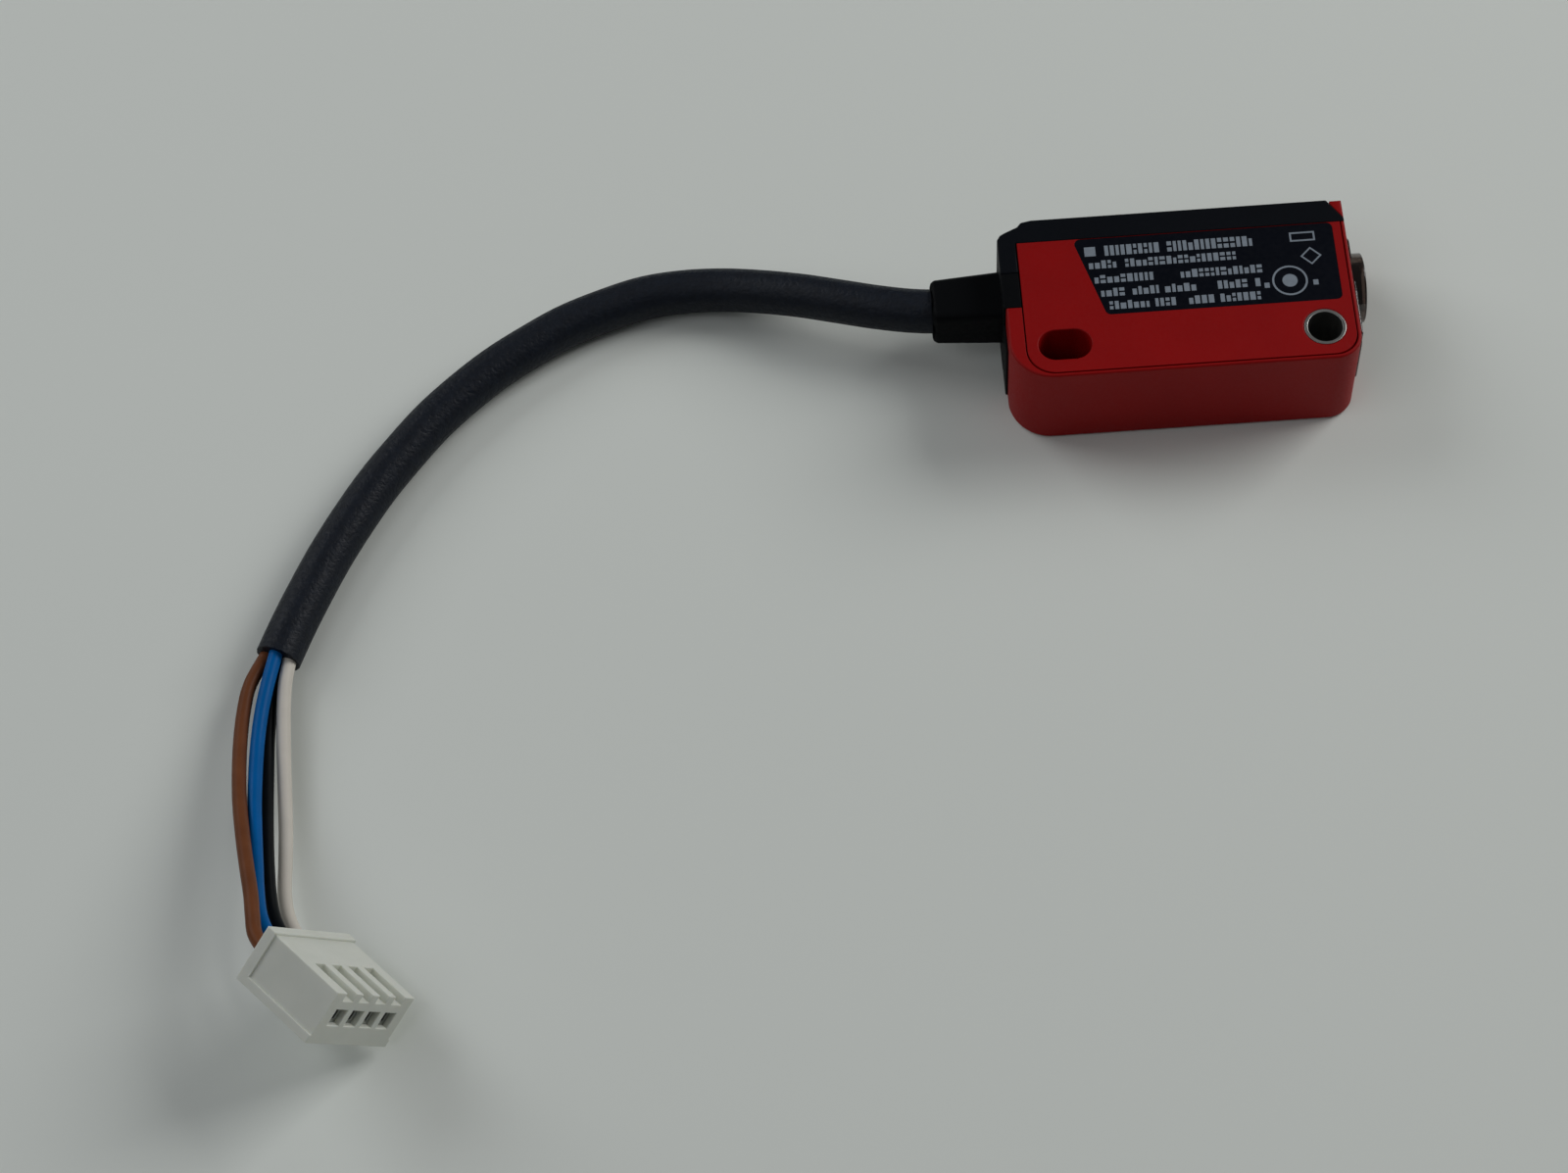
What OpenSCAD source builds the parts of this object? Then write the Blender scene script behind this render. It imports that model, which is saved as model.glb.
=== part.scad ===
// Miniature rectangular photoelectric sensor with a short lead and a four-way plug.
// Background-suppression type: light leaves and returns through the front (+Y),
// the lead leaves the -X end, and the distance adjuster is in the +X end.
// It lies on one of its two large sides. All sizes are in millimetres.

/* [Housing] */
// Length of the housing, from the cable end to the adjuster end
body_l = 34.5; // [34.5:0.1:36]
// Depth of the housing, from its back to the optics front
body_d = 18.6; // [18.6:0.1:19.4]
// Thickness between the two large sides
body_t = 11.4; // [11.4:0.1:12]
// Wall thickness of the moulded housing
wall = 1.2; // [1.1:0.05:1.2]
// Radius of the back corner next to the cable
cable_corner_r = 4.2; // [3.6:0.1:4.4]
// Radius of the back corner next to the adjuster
dial_corner_r = 2.7; // [2:0.1:2.8]
// Gap between the side cover and the rim round it
cover_gap = 0.12; // [0.06:0.01:0.15]

/* [Mounting holes] */
// Distance between the two mounting holes
hole_pitch = 25.4; // [25.2:0.1:25.6]
// Distance from the back of the housing to the holes
hole_inset = 3.65; // [3.6:0.05:3.8]
// Bore of the metal sleeve
sleeve_bore = 3.4; // [3.2:0.05:3.5]
// Outer diameter of the metal sleeve
sleeve_od = 4.1; // [4:0.05:4.2]
// Length of the slotted hole
slot_l = 5.2; // [5:0.1:5.3]
// Width of the slotted hole
slot_w = 3.4; // [3.2:0.05:3.5]

/* [Optics] */
// Distance from the front at which the black front cover starts
front_band = 2.7; // [2.6:0.05:2.8]
// Diameter of the receiver lens
receiver_lens_d = 7; // [6:0.1:7.2]
// Diameter of the transmitter lens
transmitter_lens_d = 5.6; // [5:0.1:6]
// Distance between the two optical axes
lens_pitch = 11.5; // [11.2:0.1:12]

/* [Adjuster end] */
// How far the adjuster boss stands out of the housing
dial_out = 1.7; // [1.5:0.05:1.8]
// Diameter of the round boss on the display window
boss_d = 7; // [6.6:0.1:7.2]
// Diameter of the adjuster's head
head_d = 4.6; // [4.2:0.1:4.8]
// Width of the screwdriver cross in the adjuster's head
cross_w = 0.7; // [0.5:0.05:0.9]
// Diameter of the adjuster's lead screw
screw_d = 1.6; // [1.4:0.05:1.7]
// Radial running clearance of the adjuster
run_gap = 0.05; // [0.03:0.01:0.08]

/* [Lead and plug] */
// Outer diameter of the cable jacket
cable_d = 4.5; // [4.3:0.05:4.6]
// Outer diameter of each insulated wire
wire_d = 1.4; // [1.2:0.05:1.4]
// Length of the strain relief outside the housing
boot_l = 6.9; // [6:0.1:7]
// Distance between neighbouring plug contacts
plug_pitch = 2.5; // [2.4:0.05:2.55]

/* [Hidden] */
$fn = 64;
e = 0.05; // how far a cutter runs past the face it opens

// Ends and faces of the housing
x_cable = -(body_l + dial_out) / 2;
x_dial = x_cable + body_l;
y_back = -body_d / 2;
y_front = body_d / 2;
y_band = y_front - front_band;
z_mid = body_t / 2;
z_lid = body_t - wall;
flange_proud = 0.25; // the cable flange stands this much proud of the red end
x_red = x_cable + flange_proud;
end_wall = 1.8; // thickness of the black arm at the cable end
y_flange = 3.1; // the cable flange meets the arm here
x_arm = x_cable + end_wall;
rim = 0.35; // width of the rim beside the side cover
x_lid = x_arm; // the side cover starts where the arm ends
y_flange_end = -1; // the cable flange ends here, and its tongue goes on below the boot
y_tongue_end = -4.3;
z_tongue = [0.6, 8.4];
tongue_t = 0.5;

// Nameplate: middles of its rounded corners, seen from the side cover, and its thickness
PLATE_CORNERS = [[-9.9, 5.95], [14.5, 5.95], [14.5, -1.95], [-7.6, -1.95]];
plate_corner_r = 0.6;
plate_t = 0.1;

// Mounting holes
x_sleeve = x_dial - 3.45;
x_slot = x_sleeve - hole_pitch;
y_hole = y_back + hole_inset;
boss_wall = 0.8;

// Front cover: pocket for the optics, and the opening of its window
pocket = [x_cable + 5.3, x_dial - 2.8];
pocket_wall = 1.9;
opening = [pocket[0] + 1.2, pocket[1] - 1.2];
opening_wall = 2.7;
face_t = 0.8;
flange_t = 0.3;
y_pocket = y_front - face_t;
y_lens = y_pocket - 0.9; // back of the lenses, front of the optics holder
holder_t = 2.7;
y_holder = y_lens - holder_t; // back of the holder; its ribs reach on to y_rib_end
y_rib_end = 1;
x_ribs = [-9.6, 0.4, 9.8];
rib_t = 0.9;
x_rx = -4.9;
x_tx = x_rx + lens_pitch;

// Adjuster axis and lengths
y_dial = 2.3;
y_window = [-6.4, 7.2]; // the display window's reach across the end
window_half = body_t / 2 - 1.9; // half its height
window_corner_r = 1.2;
x_window_out = x_dial + 0.6;
recess = 0.7; // depth of the display window's seat
x_seat = x_dial - recess;
x_tip = x_dial + dial_out;
head_back = 0.4; // the head sits this deep in the boss
neck_r = 1.2;
seal_r = 0.35;
seal_mid_r = 1.45;
x_seal = x_dial - 2.1;
x_screw_end = -9;
x_rod = [-9.3, 1];
rod_z = 8.6;
rod_r = 0.6;

// Boards and indicators
board_t = 0.8;
z_board = 3.2; // top face of the main board
x_board = [-8.8, 9.8];
x_ledges = [-8.4, 8.2];
led_y = -2;
led_z = [3.7, 7.7];
guide_r = 0.5;

// Strain relief
cable_r = cable_d / 2;
wire_r = wire_d / 2;
y_boot = 2.9;
boot_base = 2.8; // half width at the housing
boot_tip = 2.5; // half width at the free end

// Plug: its own axes are X to the mating end, Y along the row of contacts, Z out of the keyed side
plug_w = 3 * plug_pitch + 4.9;
plug_l = 9.8;
plug_t = 5.75;
plug_turn = -43.5;
plug_lean = 59;
plug_roll = 8;
plug_at = [-89.1, -62.9, plug_w * sin(plug_lean) * cos(plug_roll) + plug_t * cos(plug_lean)];
plug_first = 2.45;
plug_row_z = -2.9;
cavity = 1.7;

// Route of the jacket's middle line: straight out of the housing, then down to the surface
JACKET = [[-14.5, 2.9, 5.7], [-18, 2.9, 5.7], [-22, 2.9, 5.7], [-26, 3.1, 5.7], [-30, 4, 5.5], [-34, 5.4, 5],
    [-38, 7, 4.2], [-42, 8.4, 3.3], [-46, 9.4, 2.6], [-50, 9.7, 2.3], [-54, 9.3, 2.25], [-58, 8.1, 2.25],
    [-62, 6.5, 2.25], [-65.5, 4.5, 2.25], [-69, 2.2, 2.25], [-72.4, -0.6, 2.25], [-75.6, -3.7, 2.25],
    [-78.5, -7.2, 2.25], [-81.2, -10.8, 2.25], [-83.6, -14.6, 2.25], [-85.8, -18.5, 2.25],
    [-87.7, -22.4, 2.25], [-89.4, -26.2, 2.25], [-90.8, -29.7, 2.25]];
// Routes of the four wires, from the cut end of the jacket to the plug
BROWN = [[-91.9, -29.25, 2.3], [-93.4, -32.55, 2.6], [-93.9, -35.8, 3], [-94, -39.4, 3.7],
    [-93.85, -43.05, 4.6], [-93.5, -46.75, 5.7], [-92.95, -50.45, 6.8], [-92.3, -54.1, 7.9],
    [-91.65, -57.55, 8.8], [-91.35, -59.9, 9.3], [-91, -61.95, 9.6], [-89.9, -63.8, 9.9],
    [-88.45, -65.45, 10.15]];
BLUE = [[-90.85, -29.7, 3.25], [-91.6, -33.05, 3.3], [-92.1, -36.15, 3.4], [-92.35, -39.5, 3.7],
    [-92.35, -43, 4.3], [-92.25, -46.5, 4.95], [-92, -49.95, 5.6], [-91.7, -53.4, 6.3], [-91.4, -56.75, 6.9],
    [-91, -59.15, 7.25], [-90.15, -61.2, 7.5], [-88.75, -63.15, 7.75], [-87.3, -64.75, 8]];
BLACK = [[-90.8, -29.7, 1.3], [-91.25, -32.1, 1.4], [-91.6, -35.2, 1.5], [-91.7, -38.65, 1.85],
    [-91.6, -42.15, 2.4], [-91.45, -45.65, 3.1], [-91.25, -49.15, 3.8], [-91, -52.55, 4.4],
    [-90.65, -55.9, 4.9], [-90.15, -58.4, 5.2], [-89.2, -60.45, 5.4], [-87.65, -62.45, 5.65],
    [-86.15, -64.05, 5.9]];
WHITE = [[-89.7, -30.15, 2.35], [-90.05, -32.7, 2.4], [-90.15, -35.7, 2.3], [-90.1, -38.95, 2.2],
    [-90, -42.1, 2.1], [-89.85, -45.35, 2.15], [-89.7, -48.55, 2.3], [-89.65, -51.8, 2.5], [-89.6, -55.05, 2.8],
    [-89.15, -57.6, 3.05], [-88.15, -59.75, 3.25], [-86.5, -61.75, 3.5], [-85.05, -63.35, 3.75]];

// Unit vector along v
function unit(v) = v / norm(v);
// Direction of a route at point i
function along(p, i) = unit(p[min(i + 1, len(p) - 1)] - p[max(i - 1, 0)]);
// Every nth point of a route, with its last point
function thin(p, n) = [for (i = [0:n:len(p) - 2]) p[i], p[len(p) - 1]];
// One ring of k points round point i of a route
function ring(p, i, r, k) = let (t = along(p, i), s = unit(cross(t, [0, 0, 1])), u = cross(s, t))
    [for (j = [0:k - 1]) p[i] + r * (cos(360 * j / k) * s + sin(360 * j / k) * u)];

// A tube swept along a route as one closed solid
module tube(p, r, k) {
    n = len(p);
    points = [for (i = [0:n - 1]) each ring(p, i, r, k)];
    sides = [for (i = [0:n - 2]) for (j = [0:k - 1])
        [i * k + j, (i + 1) * k + j, (i + 1) * k + (j + 1) % k, i * k + (j + 1) % k]];
    start = [for (j = [0:k - 1]) j];
    finish = [for (j = [k - 1:-1:0]) (n - 1) * k + j];
    polyhedron(points, concat(sides, [start], [finish]), convexity = 4);
}

// A block between two corners
module block(a, b) {
    translate(a) cube(b - a);
}

// A cylinder along X from x1 to x2
module rod_x(x1, x2, y, z, r) {
    translate([x1, y, z]) rotate([0, 90, 0]) cylinder(h = x2 - x1, r = r);
}

// What a corner loses when it is rounded to radius r; sx and sy say which way the corner points
module corner(x, y, sx, sy, r) {
    translate([x, y]) scale([sx, sy]) difference() {
        translate([-r, -r]) square(r + e);
        translate([-r, -r]) circle(r);
    }
}

// Slotted hole outline, grown by g
module slot_outline(g) {
    r = slot_w / 2 + g;
    for (s = [-1, 1]) translate([x_slot + s * (slot_l - slot_w) / 2, y_hole]) circle(r);
    translate([x_slot - (slot_l - slot_w) / 2, y_hole - r]) square([slot_l - slot_w, 2 * r]);
}

// Outline of the red housing with its two rounded back corners
module housing_outline() {
    difference() {
        union() {
            translate([x_red, y_back]) square([x_dial - x_red, y_band - y_back]);
            translate([x_dial - wall, y_back]) square([wall, body_d - 0.2]);
        }
        corner(x_red, y_back, -1, -1, cable_corner_r);
        corner(x_dial, y_back, 1, -1, dial_corner_r);
    }
}

// Outline of the space inside the housing; its corners keep the wall's thickness
module inside_outline() {
    difference() {
        translate([x_arm, y_back + wall]) square([x_dial - wall - x_arm, y_band + e - y_back - wall]);
        corner(x_arm, y_back + wall, -1, -1, cable_corner_r - end_wall);
        corner(x_dial - wall, y_back + wall, 1, -1, dial_corner_r - wall);
    }
}

// Outline of the side cover, shrunk by g
module cover_outline(g) {
    difference() {
        translate([x_lid + g, y_back + rim + g])
            square([x_dial - rim - x_lid - 2 * g, y_band - y_back - rim - g]);
        corner(x_lid + g, y_back + rim + g, -1, -1, cable_corner_r - 1.4);
        corner(x_dial - rim - g, y_back + rim + g, 1, -1, dial_corner_r - rim);
    }
}

// Outline of the front cover's bar, with its slanted end at the adjuster
module band_outline() {
    polygon([[x_arm, y_band], [x_dial, y_band], [x_dial, y_band + 0.4], [x_dial - 1.5, y_front],
        [x_arm + 1.7, y_front], [x_arm + 0.7, y_front - 0.2], [x_arm + 0.3, y_front - 0.7]]);
}

// Outline of the front cover: the bar and the arm round the cable end, with its rounded outer corner
module front_outline() {
    polygon([[x_cable, y_flange], [x_cable, y_front - 2.1], [x_cable + 0.3, y_front - 1.6],
        [x_cable + 0.8, y_front - 1.3], [x_arm + 0.3, y_front - 0.7], [x_arm + 0.7, y_front - 0.2],
        [x_arm + 1.7, y_front], [x_dial - 1.5, y_front], [x_dial, y_band + 0.4], [x_dial, y_band],
        [x_arm, y_band], [x_arm, y_flange]]);
}

// Middle of the cable flange, which fills a window in the black arm; grown by g in X
module flange_core(g) {
    block([x_cable - g, y_flange - 0.5, z_mid - 3.2], [x_arm + g, y_boot + 3.2, z_mid + 3.2]);
}

// Outline of the nameplate: one end is slanted
module nameplate_outline(g) {
    hull() for (c = PLATE_CORNERS) translate(c) circle(plate_corner_r + g, $fn = 32);
}

// Outline of the display window on the end face, in Y and Z
module window_outline(g) {
    difference() {
        translate([y_window[0] - g, z_mid - window_half - g])
            square([y_window[1] - y_window[0] + 2 * g, 2 * (window_half + g)]);
        for (s = [-1, 1]) {
            corner(y_window[1] + g, z_mid + s * (window_half + g), 1, s, window_corner_r);
            corner(y_window[0] - g, z_mid + s * (window_half + g), -1, s, window_corner_r);
        }
    }
}

// Extrudes an outline drawn in Y and Z along X
module end_plate(x1, x2) {
    translate([x1, 0, 0]) rotate([90, 0, 90]) linear_extrude(x2 - x1) children();
}

module housing_shell() {
    color("#b3141b") difference() {
        union() {
            difference() {
                linear_extrude(body_t) housing_outline();
                translate([0, 0, wall]) linear_extrude(body_t) inside_outline();
                translate([0, 0, z_lid]) linear_extrude(wall + e) cover_outline(0);
                // corners of the front cover overlap the end wall on both large sides
                for (z = [-e, z_lid]) translate([0, 0, z]) linear_extrude(wall + e) band_outline();
                // arm and flange of the cable end
                block([x_red - 1, y_flange_end, -e], [x_arm + e, y_band + e, body_t + e]);
                block([x_red - 1, y_tongue_end, z_tongue[0]], [x_red + tongue_t, y_flange_end + e, z_tongue[1]]);
            }
            translate([x_sleeve, y_hole, 0]) cylinder(h = z_lid, d = sleeve_od + 2 * boss_wall);
            linear_extrude(z_lid) slot_outline(boss_wall);
            // ledges that carry the main board
            for (x = x_ledges) block([x, y_back + wall - e, wall - e], [x + 1, 0.4, z_board - board_t]);
            // gland round the adjuster's seal
            rod_x(x_dial - wall - 1.9, x_dial - wall + e, y_dial, z_mid, 2.7);
        }
        translate([x_sleeve, y_hole, -e]) cylinder(h = body_t + 2 * e, d = sleeve_od);
        translate([0, 0, -e]) linear_extrude(body_t + 2 * e) slot_outline(0);
        // seat of the display window, adjuster bore, seal bore and light guide holes
        end_plate(x_seat, x_dial + e) window_outline(0);
        rod_x(x_dial - wall - 2, x_dial - wall + 0.1, y_dial, z_mid, seal_mid_r + seal_r + run_gap);
        rod_x(x_dial - wall - e, x_dial + e, y_dial, z_mid, neck_r + run_gap);
        for (z = led_z) rod_x(x_dial - wall - 4, x_dial + e, led_y, z, guide_r);
    }
}

module side_cover() {
    color("#b5151c") difference() {
        translate([0, 0, z_lid]) linear_extrude(wall) cover_outline(cover_gap);
        translate([x_sleeve, y_hole, z_lid - e]) cylinder(h = wall + 2 * e, d = sleeve_od);
        translate([0, 0, z_lid - e]) linear_extrude(wall + 2 * e) slot_outline(0);
        translate([0, 0, body_t - plate_t]) linear_extrude(plate_t + e) nameplate_outline(0);
    }
}

module nameplate() {
    color("#0d1426") translate([0, 0, body_t - plate_t]) linear_extrude(plate_t) nameplate_outline(0);
}

module front_cover() {
    color("#14161b") difference() {
        linear_extrude(body_t) front_outline();
        // the housing's end wall reaches between the two corners
        block([x_dial - wall, y_band - e, wall], [x_dial + e, y_front + e, z_lid]);
        flange_core(e);
        block([pocket[0], y_band - e, pocket_wall], [pocket[1], y_pocket, body_t - pocket_wall]);
        block([opening[0], y_pocket - e, opening_wall], [opening[1], y_front + e, body_t - opening_wall]);
    }
}

module front_gasket() {
    color("#3a3d40") difference() {
        block([pocket[0] - 1.8, y_band - 0.4, wall], [pocket[1] + 1.1, y_band, z_lid]);
        block([pocket[0], y_band - 0.5, pocket_wall], [pocket[1], y_band + e, body_t - pocket_wall]);
    }
}

module optics_window() {
    color("#3c1016", 0.75) {
        block([opening[0], y_pocket - e, opening_wall], [opening[1], y_front - 0.2, body_t - opening_wall]);
        block([pocket[0] + 0.1, y_pocket - flange_t, pocket_wall + 0.1],
            [pocket[1] - 0.1, y_pocket, body_t - pocket_wall - 0.1]);
    }
}

// Plano-convex lens with its flat back at y_lens
module lens(x, d, bulge) {
    edge = 0.2;
    steps = 8;
    dome = [for (i = [steps:-1:0]) [d / 2 * i / steps, edge + bulge * (1 - pow(i / steps, 2))]];
    translate([x, y_lens, z_mid]) rotate([-90, 0, 0]) rotate_extrude() polygon(concat([[0, 0], [d / 2, 0]], dome));
}

module transmitter_lens() {
    color("#dfe7ea", 0.6) lens(x_tx, transmitter_lens_d, 0.35);
}

module receiver_lens() {
    color("#dfe7ea", 0.6) lens(x_rx, receiver_lens_d, 0.38);
}

module light_barrier() {
    color("#26282b") block([1.4, y_lens, pocket_wall + 0.1], [2.2, y_pocket - flange_t, body_t - pocket_wall - 0.1]);
}

// Moulded frame that holds the lenses, the guide rod and the end of the lead screw
module optics_holder() {
    color("#1d1f22") difference() {
        union() {
            block([pocket[0] + 0.6, y_holder, pocket_wall + 0.1],
                [pocket[1] - 0.2, y_lens, body_t - pocket_wall - 0.1]);
            for (x = x_ribs) block([x, y_rib_end, wall], [x + rib_t, y_holder + e, z_lid]);
        }
        translate([x_rx, y_holder - e, z_mid]) rotate([-90, 0, 0])
            cylinder(h = holder_t + 2 * e, r1 = 1.2, r2 = receiver_lens_d / 2 - 0.3);
        translate([x_tx, y_holder - e, z_mid]) rotate([-90, 0, 0])
            cylinder(h = holder_t + 2 * e, r1 = 0.8, r2 = transmitter_lens_d / 2 - 0.3);
        rod_x(x_screw_end - run_gap, x_seal, y_dial, z_mid, screw_d / 2 + run_gap);
        rod_x(x_rod[0], x_rod[1], y_dial, rod_z, rod_r);
    }
}

module emitter_led() {
    color("#d8d2c4") {
        block([x_tx - 1.3, y_holder - 0.7, z_mid - 1.3], [x_tx + 1.3, y_holder, z_mid + 1.3]);
        translate([x_tx, y_holder - e, z_mid]) rotate([-90, 0, 0]) cylinder(h = 0.5, r1 = 0.7, r2 = 0.45);
    }
}

module receiver_carriage() {
    color("#35383c") difference() {
        block([x_rx - 1.5, 1, z_mid - 1.4], [x_rx + 1.5, 3.7, rod_z + 1]);
        rod_x(x_rx - 2, x_rx + 2, y_dial, z_mid, screw_d / 2 + run_gap);
        rod_x(x_rx - 2, x_rx + 2, y_dial, rod_z, rod_r + run_gap);
    }
}

module receiver_diode() {
    color("#1b2430") block([x_rx - 1.2, 3.7, z_mid - 1.2], [x_rx + 1.2, 4.3, z_mid + 1.2]);
}

module guide_rod() {
    color("#c4c7ca") rod_x(x_rod[0], x_rod[1], y_dial, rod_z, rod_r);
}

// Adjuster: cross-slotted head, sealed neck and plain lead screw in one turned piece
module range_spindle() {
    x_head = x_tip - head_back;
    color("#d9d4c2") difference() {
        union() {
            rod_x(x_seat + 0.1, x_head, y_dial, z_mid, head_d / 2);
            rod_x(x_seal - 1, x_seat + 0.2, y_dial, z_mid, neck_r);
            rod_x(x_screw_end, x_seal, y_dial, z_mid, screw_d / 2);
        }
        for (turn = [0, 90]) translate([x_head - 0.8, y_dial, z_mid]) rotate([turn, 0, 0])
            translate([0, -cross_w / 2, -head_d / 2 + 0.5]) cube([0.8 + e, cross_w, head_d - 1]);
        // groove of the seal
        translate([x_seal - seal_r, y_dial, z_mid]) rotate([0, 90, 0]) difference() {
            cylinder(h = 2 * seal_r, r = neck_r + e);
            translate([0, 0, -e]) cylinder(h = 2 * seal_r + 2 * e, r = seal_mid_r - seal_r);
        }
    }
}

module spindle_seal() {
    color("#202224") translate([x_seal, y_dial, z_mid]) rotate([0, 90, 0])
        rotate_extrude() translate([seal_mid_r, 0]) circle(seal_r, $fn = 24);
}

// Ring that lets the adjuster slip at the ends of its travel
module slip_clutch() {
    x1 = x_seal - 2.7;
    color("#b89c52") difference() {
        rod_x(x1, x1 + 1.6, y_dial, z_mid, 1.5);
        rod_x(x1 - e, x1 + 1.6 + e, y_dial, z_mid, screw_d / 2);
    }
}

// Clear end window with a raised round boss that guards the adjuster
module display_window() {
    color("#5b4a45", 0.5) difference() {
        union() {
            end_plate(x_seat, x_dial + 0.35) window_outline(-0.05);
            end_plate(x_dial, x_window_out) intersection() {
                window_outline(-0.5);
                translate([-5.2, 0]) square([12, body_t]);
            }
            rod_x(x_dial, x_tip, y_dial, z_mid, boss_d / 2);
        }
        rod_x(x_seat - e, x_tip + e, y_dial, z_mid, head_d / 2 + run_gap);
        for (z = led_z) rod_x(x_seat - e, x_seat + 0.4, led_y, z, guide_r);
    }
}

module light_guides() {
    color("#e8eef0", 0.6) for (z = led_z) rod_x(9.9, x_seat + 0.4, led_y, z, guide_r);
}

// Small light-emitting chip on the indicator board
module indicator(z) {
    block([9.3, led_y - 0.7, z - 0.5], [9.9, led_y + 0.7, z + 0.5]);
}

module power_led() {
    color("#7ddf7a") indicator(led_z[0]);
}

module output_led() {
    color("#f2c83a") indicator(led_z[1]);
}

module led_board() {
    color("#1f5b3a") block([8.5, led_y - 1.2, z_board], [9.3, led_y + 1.2, 9.2]);
}

module main_board() {
    color("#1f5b3a") block([x_board[0], y_back + wall + 0.2, z_board - board_t], [x_board[1], 0.8, z_board]);
}

// Controller, regulator, capacitors and resistors on the main board
module board_components() {
    color("#2a2c30") {
        block([2.2, -6.8, z_board], [6.2, -2.8, z_board + 0.9]);
        block([-8, -6.6, z_board], [-6, -4.2, z_board + 1.1]);
        for (x = [2.6, 4.4]) block([x, -1.9, z_board], [x + 0.8, -0.3, z_board + 0.6]);
        for (y = [-7.4, -6]) block([7.2, y, z_board], [8.6, y + 0.8, z_board + 0.5]);
        translate([6.9, -0.9, z_board]) cylinder(h = 1.8, r = 0.9);
    }
}

module shield_can() {
    color("#c8cbcc") difference() {
        block([-4.8, -6.9, z_board], [1.2, -1.9, z_board + 1.6]);
        block([-4.6, -6.7, z_board - e], [1, -2.1, z_board + 1.4]);
    }
}

module mounting_sleeve() {
    color("#c9cbcc") translate([x_sleeve, y_hole, 0]) difference() {
        cylinder(h = body_t, d = sleeve_od);
        translate([0, 0, -e]) cylinder(h = body_t + 2 * e, d = sleeve_bore);
    }
}

// Thin slice of the strain relief: a rounded square of half width h at x
module boot_slice(x, h, r) {
    translate([x, y_boot, z_mid]) rotate([0, 90, 0]) linear_extrude(0.1)
        hull() for (a = [-1, 1], b = [-1, 1]) translate([a * (h - r), b * (h - r)]) circle(r, $fn = 24);
}

// Tapered sleeve round the cable, with the flange that closes the cable end
module strain_relief() {
    x_free = x_cable - boot_l;
    color("#101216") difference() {
        union() {
            hull() {
                boot_slice(x_cable - 0.1, boot_base, 0.9);
                boot_slice(x_free + 0.5, boot_tip + 0.02, 0.9);
                boot_slice(x_free, boot_tip - 0.15, 0.9);
            }
            block([x_cable, y_flange_end, 0], [x_arm, y_flange, body_t]);
            flange_core(0);
            block([x_cable, y_tongue_end, z_tongue[0]], [x_red + tongue_t, y_flange_end + e, z_tongue[1]]);
            rod_x(x_arm - e, x_arm + 1.1, y_boot, z_mid, 3.2);
        }
        rod_x(x_free - e, x_arm + 1.2, y_boot, z_mid, cable_r);
    }
}

// Crimped ring that keeps the cable from being pulled out
module cord_anchor() {
    color("#b9bcbe") difference() {
        rod_x(x_arm + 1.1, x_arm + 1.8, y_boot, z_mid, 2.9);
        rod_x(x_arm + 1, x_arm + 1.9, y_boot, z_mid, cable_r);
    }
}

// Four short wires from the end of the cable to the main board
module board_leads() {
    lead_r = 0.28;
    // position along X, share of the way across in Y, height
    run = [[-14.5, 0, 5.7], [-13.2, 0.12, 5.6], [-11.6, 0.4, 5.2], [-10, 0.75, 4.5], [-8.8, 0.95, 3.9],
        [-7.8, 1, z_board + lead_r]];
    for (i = [0:3]) {
        from = y_boot - 1.2 + 0.8 * i;
        to = -2.4 + 0.85 * i;
        color(["#6b3a1e", "#1c4fa0", "#17181a", "#e6e3dc"][i])
            tube([for (p = run) [p[0], from + (to - from) * p[1], p[2]]], lead_r, 8);
    }
}

module cable_jacket() {
    color("#1e2229") tube(thin(JACKET, 2), cable_r, 12);
}

module wire_brown() {
    color("#7a4226") tube(BROWN, wire_r, 8);
}

module wire_blue() {
    color("#0f4c9e") tube(BLUE, wire_r, 8);
}

module wire_black() {
    color("#15171a") tube(BLACK, wire_r, 8);
}

module wire_white() {
    color("#e4dcd8") tube(WHITE, wire_r, 8);
}

// Places a child drawn in the plug's own axes
module in_plug() {
    translate(plug_at) rotate([-plug_lean, 0, plug_turn]) rotate([0, 0, -plug_roll]) children();
}

module plug_housing() {
    lip = 1.1;
    skin = 0.25;
    color("#d9dbd8") in_plug() difference() {
        union() {
            block([0, 0, -plug_t], [lip, plug_w, 0]);
            block([lip - e, skin, -plug_t], [plug_l, plug_w - skin, -skin]);
            // low rails on the two narrow sides
            for (y = [0, plug_w - 0.9]) block([0, y, -plug_t], [plug_l, y + 0.9, -plug_t + 0.9]);
        }
        for (i = [0:3]) {
            y = plug_first + plug_pitch * i;
            // contact cavity, wire entry and keying slot
            block([-e, y - cavity / 2, plug_row_z - cavity / 2], [plug_l + e, y + cavity / 2, plug_row_z + cavity / 2]);
            block([-e, y - 0.95, plug_row_z - 1.1], [2.6, y + 0.95, plug_row_z + 1.1]);
            block([5.2, y - 0.75, -1.1], [plug_l + e, y + 0.75, e]);
        }
    }
}

// Crimp contacts: a box that grips the pin, one in each cavity
module plug_contacts() {
    color("#c7c9c6") in_plug() for (i = [0:3]) {
        y = plug_first + plug_pitch * i;
        difference() {
            block([2.2, y - cavity / 2, plug_row_z - cavity / 2], [plug_l - 0.6, y + cavity / 2, plug_row_z + cavity / 2]);
            block([4.4, y - 0.45, plug_row_z - 0.45], [plug_l, y + 0.45, plug_row_z + 0.45]);
        }
    }
}

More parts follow.
